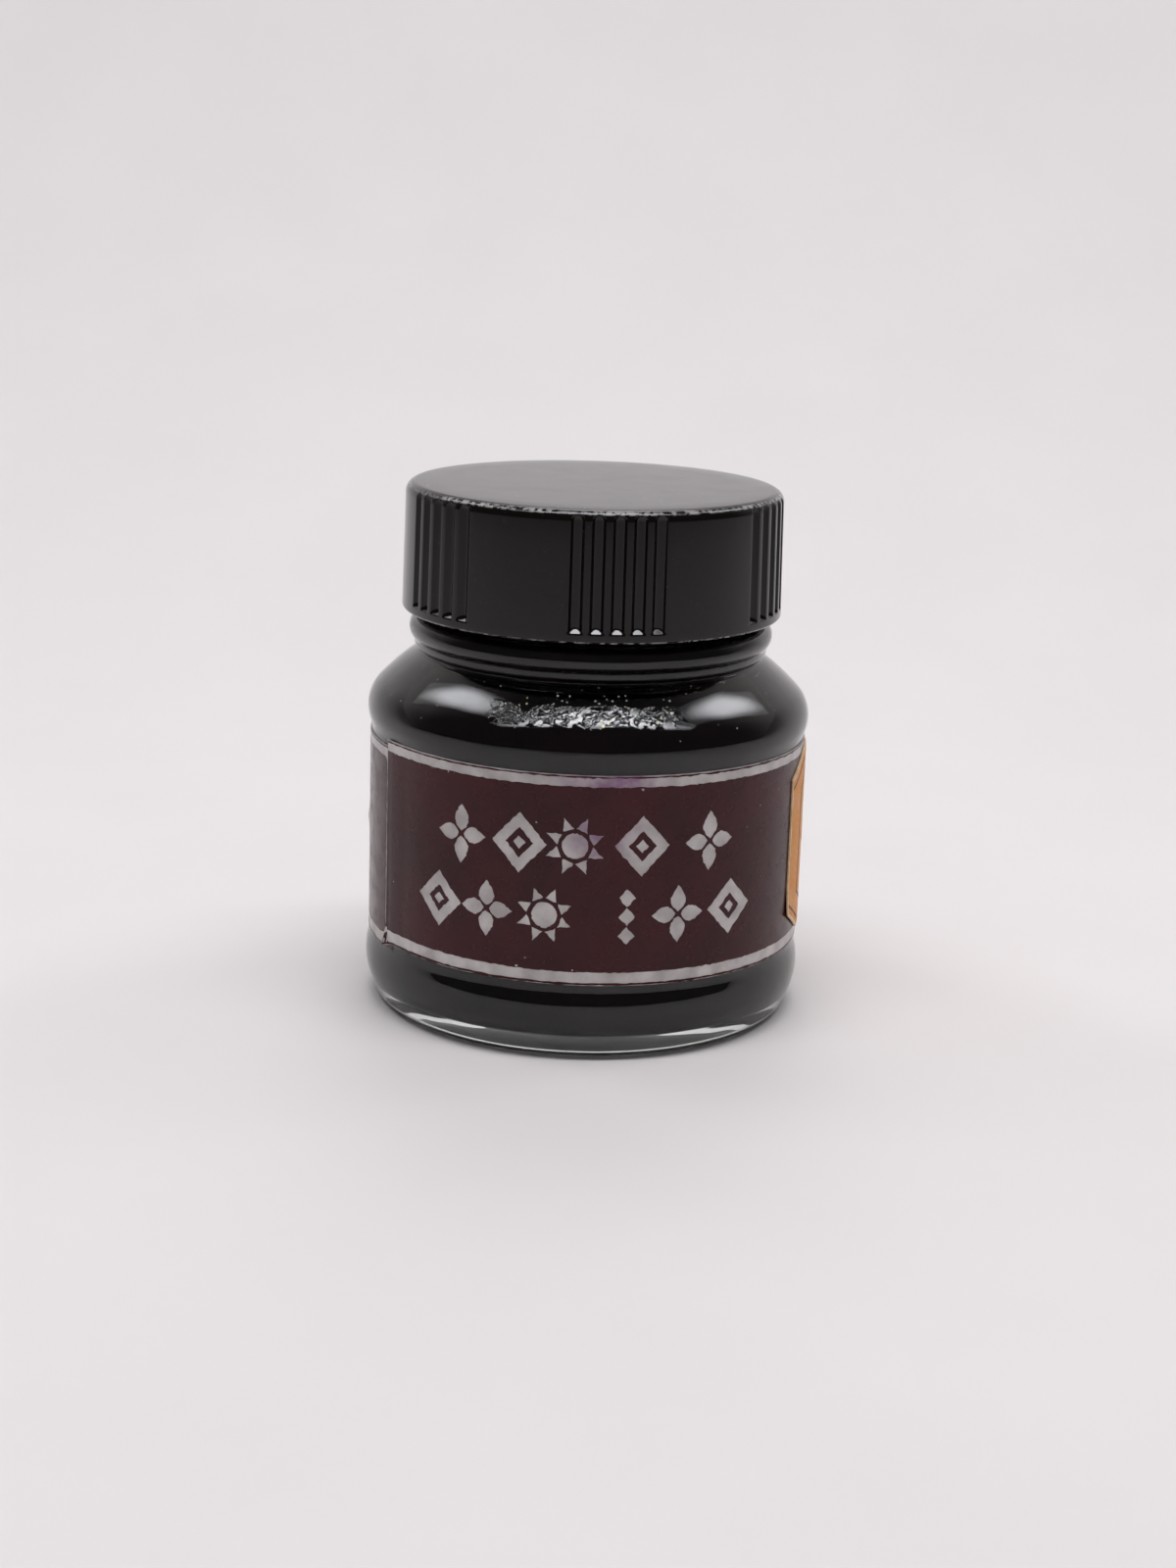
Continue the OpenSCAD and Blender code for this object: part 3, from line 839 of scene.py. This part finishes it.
# %% Dust tree
def dust_tree():
    tree, given = new_tree("dust", {"Density": 1000.0, "Seed": 1, "Least Size": 0.0001, "Most Size": 0.0002,
                                    "Lowest": 0.0, "Highest": 1.0, "Middle": 0.0, "Spread": 4.0})
    size = given.outputs
    normal = add(tree, "ShaderNodeSeparateXYZ", {}, {0: add(tree, "GeometryNodeInputNormal")})
    place = add(tree, "ShaderNodeSeparateXYZ", {}, {0: add(tree, "GeometryNodeInputPosition")})
    upward = add(tree, RAMP, {}, {"Value": normal.outputs["Z"], "From Min": 0.25, "From Max": 0.9})
    over = add(tree, MATH, "GREATER_THAN", (place.outputs["Z"], size["Lowest"]))
    under = add(tree, MATH, "LESS_THAN", (place.outputs["Z"], size["Highest"]))
    share = add(tree, MATH, "MULTIPLY", (upward, over))
    share = add(tree, MATH, "MULTIPLY", (share, under))
    inward = add(tree, MATH, "MULTIPLY", (place.outputs["Y"], -1))
    angle = add(tree, MATH, "ARCTAN2", (place.outputs["X"], inward))
    near = add(tree, MATH, "COMPARE", (angle, size["Middle"], size["Spread"]))
    share = add(tree, MATH, "MULTIPLY", (share, near))
    density = add(tree, MATH, "MULTIPLY", (share, size["Density"]))
    points = add(tree, "GeometryNodeDistributePointsOnFaces", {}, {
        "Mesh": size["Geometry"], "Density": density, "Seed": size["Seed"]})
    grain = add(tree, "GeometryNodeMeshIcoSphere", {}, {"Radius": 1.0, "Subdivisions": 1})
    scale = add(tree, "FunctionNodeRandomValue", {"data_type": "FLOAT_VECTOR"}, {"Seed": size["Seed"]})
    low, high = size["Least Size"], size["Most Size"]
    least = add(tree, "ShaderNodeCombineXYZ", {}, (low, low, low))
    most = add(tree, "ShaderNodeCombineXYZ", {}, (high, high, low))
    tree.links.new(least.outputs[0], scale.inputs[0])
    tree.links.new(most.outputs[0], scale.inputs[1])
    grains = add(tree, "GeometryNodeInstanceOnPoints", {}, {
        "Points": points.outputs["Points"], "Instance": grain, "Rotation": points.outputs["Rotation"],
        "Scale": scale.outputs[0]})
    return close_tree(tree, given, grains)


dust = dust_tree()


def make_dust(name, ground, density, seed, heights, sizes, middle=0, spread=200):
    """Grains at so many per square millimetre, in a band of heights and a spread of directions."""
    grains = bpy.data.objects.new(name, ground.data.copy())
    bpy.context.scene.collection.objects.link(grains)
    run_tree(grains, dust, {
        "Density": density / MM ** 2, "Seed": seed, "Least Size": sizes[0] * MM, "Most Size": sizes[1] * MM,
        "Lowest": heights[0] * MM, "Highest": heights[1] * MM,
        "Middle": math.radians(middle), "Spread": math.radians(spread)})
    return outwards(grains, 60)


cap_dust = make_dust("cap_dust", cap, 0.06, 4, (48.6, 49.0), (0.03, 0.12))
shoulder_dust = make_dust("shoulder_dust", bottle, 0.25, 9, (28.5, 34.2), (0.03, 0.08))
# dried residue grains on the front of the shoulder, painted near white: they are painted glints where the
# strip above is mirrored
shoulder_glint_grains = make_dust("shoulder_glint_grains", bottle, 1.1, 12, (30.5, 31.15), (0.06, 0.19), -1, 25)
# the grains on the upper shoulder below the neck are painted near white as glints too
neck_glint_grains = make_dust("neck_glint_grains", bottle, 2.4, 15, (32.0, 32.2), (0.04, 0.10), 2, 20)

# %% [markdown]
# ## Finishes
# Each finish starts from what the real one is.  A material here is a Principled
# shader with the typical index and roughness of its substance, and a few nodes that
# give it its fine detail at a real size.  Noise scales are worked out from a size in
# millimetres: a noise of scale s has features about 1/s metres wide.

# %% Material helpers
def new_material(name, **sockets):
    """A material with its shader; sockets that are the same all over are set on it."""
    material = bpy.data.materials.new(name)
    material.use_nodes = True
    tree = material.node_tree
    shader = tree.nodes["Principled BSDF"]
    for socket, value in sockets.items():
        shader.inputs[socket.replace("_", " ")].default_value = value
    return material, tree, shader


def per_mm(size):
    """The scale of a noise whose features are about that many millimetres wide."""
    return 1 / (size * MM)


def place_of(tree):
    return add(tree, "ShaderNodeTexCoord").outputs["Object"]


def wear(tree, size, low, high, detail=4.0, contrast=(0.35, 0.65)):
    """A value that wanders between low and high in patches of the given size."""
    noise = add(tree, NOISE, {}, {"Vector": place_of(tree), "Scale": per_mm(size), "Detail": detail})
    return add(tree, RAMP, {}, {"Value": noise, "From Min": contrast[0], "From Max": contrast[1],
                                "To Min": low, "To Max": high})


def band(tree, value, middle, reach, core):
    """1 where a place is within the core's share of the reach from a middle, 0 beyond the reach."""
    away = add(tree, MATH, "SUBTRACT", (value, middle * MM))
    away = add(tree, MATH, "ABSOLUTE", {0: away})
    return add(tree, RAMP, {}, {"Value": away, "From Min": core * reach * MM, "From Max": reach * MM,
                                "To Min": 1.0, "To Max": 0.0})


def tint(tree, share, first, second):
    """A share of the second colour over the first, each a hex or the colour so far."""
    first, second = [linear(c) if isinstance(c, str) else c for c in (first, second)]
    return add(tree, "ShaderNodeMix", {"data_type": "RGBA"}, {0: share, 6: first, 7: second}).outputs[2]


def feed(tree, shader, colour, roughness=None):
    """Links a colour, and a roughness where it isn't the same all over."""
    tree.links.new(colour, shader.inputs["Base Color"])
    if roughness:
        tree.links.new(roughness.outputs[0], shader.inputs["Roughness"])


def bump(tree, shader, height, distance):
    """Feeds a height, in parts of the distance in millimetres, to the shader's normal."""
    node = add(tree, "ShaderNodeBump", {}, {"Height": height, "Distance": distance * MM, "Strength": 1.0})
    tree.links.new(node.outputs["Normal"], shader.inputs["Normal"])


def grain(tree, shader, size, detail, distance):
    """A fine unevenness of the surface, with its width and its depth in millimetres."""
    fine = add(tree, NOISE, {}, {"Vector": place_of(tree), "Scale": per_mm(size), "Detail": detail})
    bump(tree, shader, fine, distance)


def dress(piece, material):
    piece.data.materials.clear()
    piece.data.materials.append(material)


# %% Moulded soda-lime glass
CRUST_PLACE = ((2, 30.95, 0.85), (0, -0.3, 8.6), (1, -18.0, 8.0))  # axis, middle and reach


def moulded_glass():
    # Fire-polished soda-lime: clear, a trace of green, with the slow waves of a mould
    # under its gloss, so that reflections wander a little instead of running ruled.
    material, tree, shader = new_material(
        "soda_lime_glass_moulded", Base_Color=linear("#F1F7F4"), Transmission_Weight=1.0, IOR=1.52,
        Specular_IOR_Level=0.42)
    tree.links.new(wear(tree, 1.6, 0.0, 0.05).outputs[0], shader.inputs["Roughness"])
    waves = add(tree, NOISE, {}, {"Vector": place_of(tree), "Scale": per_mm(5.0), "Detail": 1.0})
    waves = add(tree, MATH, "MULTIPLY", (waves, 0.05))
    # where ink has dried on the shoulder its crust breaks up what the glass mirrors
    place = add(tree, "ShaderNodeSeparateXYZ", {}, {0: place_of(tree)}).outputs
    crust = wear(tree, 0.8, 0.0, 1.0, 3.0, (0.44, 0.54))
    for axis, middle, reach in CRUST_PLACE:
        crust = add(tree, MATH, "MULTIPLY", (crust, band(tree, place[axis], middle, reach, 0.7)))
    grit = add(tree, NOISE, {}, {"Vector": place_of(tree), "Scale": per_mm(0.45), "Detail": 1.0})
    grit = add(tree, MATH, "MULTIPLY", (grit, 0.10))
    bump(tree, shader, add(tree, MATH, "MULTIPLY_ADD", (crust, grit, waves)), 1.0)
    return material


# %% Dye ink
def dye_ink(name, **sockets):
    # A stamp or writing ink this strong lets no light through: it is violet-black all
    # through.  Against the glass it has almost no gloss, at its free surface it has.
    material, tree, shader = new_material(name, IOR=1.34, **sockets)
    feed(tree, shader, tint(tree, wear(tree, 6.0, 0.0, 1.0), "#080306", "#12050B"))
    return material


# %% Moulded phenolic
def moulded_phenolic():
    # Pressed phenolic is black all through and takes the mould's polish.  Handling
    # leaves faint cloudy patches and fine scuffs that only show in its reflections.
    material, tree, shader = new_material("phenolic_moulded_black", IOR=1.5, Specular_IOR_Level=0.4)
    speck = add(tree, NOISE, {}, {"Vector": place_of(tree), "Scale": per_mm(0.35), "Detail": 2.0})
    fleck = add(tree, RAMP, {}, {"Value": speck, "From Min": 0.68, "From Max": 0.74})
    colour = tint(tree, fleck, "#0D0808", "#2A2020")
    # the top edge and the rim are rubbed pale in short runs; the pale grey is partly real wear and partly a
    # painted highlight along both edges
    height = add(tree, "ShaderNodeSeparateXYZ", {}, {0: place_of(tree)}).outputs["Z"]
    edges = [band(tree, height, TOP_Z - 0.27, 0.2, 0.4), band(tree, height, RIM_Z + 0.12, 0.1, 0.4)]
    rubbed_and_highlight = add(tree, MATH, "MAXIMUM", (edges[0], edges[1]))
    rubbed_and_highlight = add(tree, MATH, "MULTIPLY", (rubbed_and_highlight, wear(tree, 0.5, 0.0, 1.0, 5.0, (0.44, 0.56))))
    rubbed_and_highlight = add(tree, MATH, "MULTIPLY", (rubbed_and_highlight, wear(tree, 5.0, 0.3, 1.0, 1.0)))
    gloss = add(tree, MATH, "MULTIPLY_ADD", (rubbed_and_highlight, 0.3, wear(tree, 3.5, 0.08, 0.14, 6.0)))
    feed(tree, shader, tint(tree, rubbed_and_highlight, colour, "#A9A6A4"), gloss)
    grain(tree, shader, 1.2, 3.0, 0.0015)
    return material


# %% Foil
SMEARS = ((2.2, -20.3, 25.8, 6.5), (1.5, -20.3, 20.6, 3.6))  # places of spilt ink, and their reach


def rolled_foil():
    # Rolled aluminium foil: a soft silver, uneven from the paper under it.  Spilt ink
    # has stained it violet in two places.
    material, tree, shader = new_material("foil_silver_rolled", Metallic=1.0)
    place, spots = place_of(tree), []
    for x, y, z, reach in SMEARS:
        away = add(tree, VECTOR, "DISTANCE", (place, (x * MM, y * MM, z * MM))).outputs["Value"]
        spots.append(add(tree, RAMP, {"interpolation_type": "SMOOTHSTEP"}, {
            "Value": away, "From Min": 0.3 * reach * MM, "From Max": reach * MM,
            "To Min": 0.75, "To Max": 0.0}))
    smear = add(tree, MATH, "MAXIMUM", (spots[0], spots[1]))
    patchy = add(tree, MATH, "MULTIPLY", (smear, wear(tree, 1.1, 0.35, 1.0)))
    silver = tint(tree, wear(tree, 1.8, 0.0, 1.0), "#A8A3A3", "#C9C5C4")
    feed(tree, shader, tint(tree, patchy, silver, "#7A4A78"), wear(tree, 0.9, 0.30, 0.46))
    grain(tree, shader, 0.3, 3.0, 0.012)
    return material


# %% Lacquer
def label_lacquer():
    # Black printing lacquer with a warm, wine-coloured depth, laid thick enough to
    # shine.  Its fine waves come from the paper, and rubbing has dulled it in places.
    material, tree, shader = new_material("lacquer_wine_black", IOR=1.5, Specular_IOR_Level=0.28)
    wine = tint(tree, wear(tree, 7.0, 0.0, 1.0), "#34080F", "#420C15")
    feed(tree, shader, wine, wear(tree, 1.5, 0.16, 0.32, 6.0))
    grain(tree, shader, 0.8, 4.0, 0.012)
    return material


# %% Papers and printing ink
def coated_paper(name, light, dark):
    # Coated label paper: dull, with short fibres just showing as uneven tone.
    material, tree, shader = new_material(name, IOR=1.5)
    tone = tint(tree, wear(tree, 0.4, 0.0, 1.0, 6.0), dark, light)
    feed(tree, shader, tone, wear(tree, 2.0, 0.42, 0.6))
    grain(tree, shader, 0.25, 4.0, 0.01)
    return material


# %% Liner, dust and residue
def pulpboard():
    # Grey-brown board of pressed pulp: dull, with fibres half a millimetre long.
    material, tree, shader = new_material("pulpboard_pressed", IOR=1.45)
    fibres = add(tree, NOISE, {}, {
        "Vector": place_of(tree), "Scale": per_mm(0.5), "Detail": 8.0, "Distortion": 1.5})
    feed(tree, shader, tint(tree, fibres, "#8A7960", "#B7A68A"), wear(tree, 1.0, 0.75, 0.95))
    bump(tree, shader, fibres, 0.05)
    return material


def liner_film():
    # A smooth white film, splashed violet-black where ink has dried on it.
    material, tree, shader = new_material("film_white_stained", IOR=1.5)
    stain = wear(tree, 3.2, 0.0, 1.0, 6.0, (0.52, 0.60))
    feed(tree, shader, tint(tree, stain, "#D9D5CC", "#2B1230"), wear(tree, 2.0, 0.25, 0.4))
    grain(tree, shader, 0.9, 3.0, 0.02)
    return material


def dust_grey():
    # Lint and grit: pale grey, with no gloss at all.
    material, tree, shader = new_material("dust_pale_grey", Roughness=0.9)
    feed(tree, shader, tint(tree, wear(tree, 0.8, 0.0, 1.0), "#8E8A86", "#CFCBC6"))
    return material


def residue_painted_as_glints():
    # Dye and salt dried to grains, painted off-white so that they stand in for glints of the light above.
    material, tree, shader = new_material("residue_pale_painted_glints", Roughness=0.25, IOR=1.5)
    feed(tree, shader, tint(tree, wear(tree, 0.9, 0.0, 1.0, 2.0, (0.45, 0.6)), "#FBFAF6", "#F6ECC4"))
    return material


# %% Every piece gets its finish, its body and its solid
glass, dust_finish, glint_residue_finish = moulded_glass(), dust_grey(), residue_painted_as_glints()
hidden_ink = dye_ink("dye_ink_against_glass", Roughness=0.3, Specular_IOR_Level=0.06)
cream = coated_paper("paper_cream_coated", "#F1D9B4", "#E2BE92")
orange = coated_paper("printing_ink_orange", "#E59A40", "#D98A30")
brown = coated_paper("printing_ink_brown_black", "#4A1C14", "#2E0F0B")
PIECES = [
    (bottle, glass, "bottle", "bottle_glass", "bottle"),
    (ink, hidden_ink, "bottle", "ink", "ink"),
    (cap, moulded_phenolic(), "cap", "cap_phenolic", "cap"),
    (board, pulpboard(), "liner", "pulpboard", "liner_board"),
    (facing, liner_film(), "liner", "liner_film", "liner_facing"),
    (foil, rolled_foil(), "bottle", "foil_label", "wrap_label"),
    (lacquer, label_lacquer(), "bottle", "foil_label", None),
    (side_paper, cream, "bottle", "side_label_paper", "side_label"),
    (side_colour, orange, "bottle", "side_label_paper", None),
    (side_print, brown, "bottle", "side_label_paper", None),
    (cap_dust, dust_finish, "cap", "cap_phenolic", None),
    (shoulder_dust, dust_finish, "bottle", "bottle_glass", None),
    (shoulder_glint_grains, glint_residue_finish, "bottle", "bottle_glass", None),
    (neck_glint_grains, glint_residue_finish, "bottle", "bottle_glass", None),
]
for piece, material, body, slot, solid in PIECES:
    dress(piece, material)
    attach(piece, body)
    if solid:
        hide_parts(solid)
    print(piece.name, "rides", body, "in", material.name)

# the ink's free surface is the only part of it that shines
ink.data.materials.append(dye_ink("dye_ink_free_surface", Roughness=0.04))
for face in ink.data.polygons:
    face.material_index = 1 if face.center.z > (INK_Z - 0.05) * MM and face.normal.z > 0.3 else 0

# %% [markdown]
# ## Floor and light
# The bottle stands on one plain pale sheet that curves up behind it.  Two long
# windows, left and right and rolled over on one end, draw the slanting lights on the
# shoulder.  A long strip overhead lights the cap's edge and the floor, and a panel
# behind lights the sweep.  The front is left dim, as the far side of a studio is,
# because a black bottle is drawn by what it does not reflect.

# %% Floor
def make_floor():
    side, bend, foot = 1200.0, 260.0, 330.0
    profile_line = [(-1500.0, 0.0), (foot - bend, 0.0)]
    profile_line += [(foot - bend + bend * math.sin(a), bend - bend * math.cos(a))
                     for a in [math.pi / 2 * i / 24 for i in range(1, 25)]]
    profile_line.append((foot, bend + 30.0))
    points = [(x, y, z) for y, z in profile_line for x in (-side, side)]
    faces = [(2 * i, 2 * i + 1, 2 * i + 3, 2 * i + 2) for i in range(len(profile_line) - 1)]
    floor = make_piece("floor_sheet", points, faces)
    floor.data.shade_smooth()
    material, tree, shader = new_material("card_pale", Roughness=0.6, Specular_IOR_Level=0.3)
    feed(tree, shader, tint(tree, wear(tree, 30.0, 0.0, 1.0), "#E5E0DE", "#E7E2E0"))
    dress(floor, material)
    return floor


floor = make_floor()


# %% Light
LIGHTS = [  # name, degrees from the front towards +X, degrees up, metres away, width, height, watts, roll
    ("window_left", -112, 51, 0.60, 0.46, 0.10, 0.62, 50),
    ("window_right", 115, 47, 0.60, 0.42, 0.10, 0.58, -50),
    ("strip_above", 6, 78, 0.60, 0.86, 0.14, 3.75, 0),
    ("panel_back", 178, 55, 0.70, 0.50, 0.45, 1.2, 0),
]


def soft_panel(name, azimuth, elevation, away, width, height, watts, roll):
    """A soft panel that looks at the bottle, brightest in its middle."""
    a, e = math.radians(azimuth), math.radians(elevation)
    target_point = Vector((0, 0, 25 * MM))
    way = Vector((math.sin(a) * math.cos(e), -math.cos(a) * math.cos(e), math.sin(e)))
    data = bpy.data.lights.new(name, "AREA")
    data.shape, data.size, data.size_y, data.energy = "RECTANGLE", width, height, watts
    data.color = linear("#F9FAFF")[:3]
    data.use_nodes = True
    tree = data.node_tree
    on_panel = add(tree, "ShaderNodeNewGeometry").outputs["Parametric"]
    from_middle = add(tree, VECTOR, "DISTANCE", (on_panel, (0.5, 0.5, 0.0)))
    glow = add(tree, RAMP, {"interpolation_type": "SMOOTHSTEP"}, {
        "Value": from_middle.outputs["Value"], "From Min": 0.1, "From Max": 0.55,
        "To Min": 1.8, "To Max": 0.1})
    tree.links.new(glow.outputs[0], tree.nodes["Emission"].inputs["Strength"])
    panel = bpy.data.objects.new(name, data)
    panel.location = target_point + way * away
    panel.rotation_mode = "QUATERNION"
    panel.rotation_quaternion = way.to_track_quat("Z", "Y") @ Quaternion((0, 0, 1), math.radians(roll))
    bpy.context.scene.collection.objects.link(panel)
    return panel


for light in LIGHTS:
    soft_panel(*light)


def make_world():
    world = bpy.data.worlds.new("studio")
    bpy.context.scene.world = world
    world.use_nodes = True
    tree = world.node_tree
    tree.nodes.clear()
    way = add(tree, "ShaderNodeSeparateXYZ", {}, {0: add(tree, "ShaderNodeTexCoord").outputs["Generated"]})
    # the room behind the camera is dim, the side with the sweep is pale
    depth = add(tree, RAMP, {"interpolation_type": "SMOOTHSTEP"}, {
        "Value": way.outputs["Y"], "From Min": 0.0, "From Max": 0.8, "To Min": 0.08, "To Max": 0.85})
    seen = add(tree, "ShaderNodeLightPath")
    soft = add(tree, "ShaderNodeBackground", {}, {"Color": linear("#FFFDFB"), "Strength": 0.15})
    room = add(tree, "ShaderNodeBackground", {}, {"Color": linear("#E9E4E1"), "Strength": depth})
    plain = add(tree, "ShaderNodeBackground", {}, {"Color": linear("#E9E4E1"), "Strength": 1.0})
    kinds = ("Glossy", "Transmission", "Camera")
    glossy, through, direct = [seen.outputs[f"Is {kind} Ray"] for kind in kinds]
    mirrored = add(tree, MATH, "MAXIMUM", (glossy, through))
    mixed = add(tree, "ShaderNodeMixShader", {}, (mirrored, soft, room))
    mixed = add(tree, "ShaderNodeMixShader", {}, (direct, mixed, plain))
    add(tree, "ShaderNodeOutputWorld", {}, {0: mixed})


make_world()
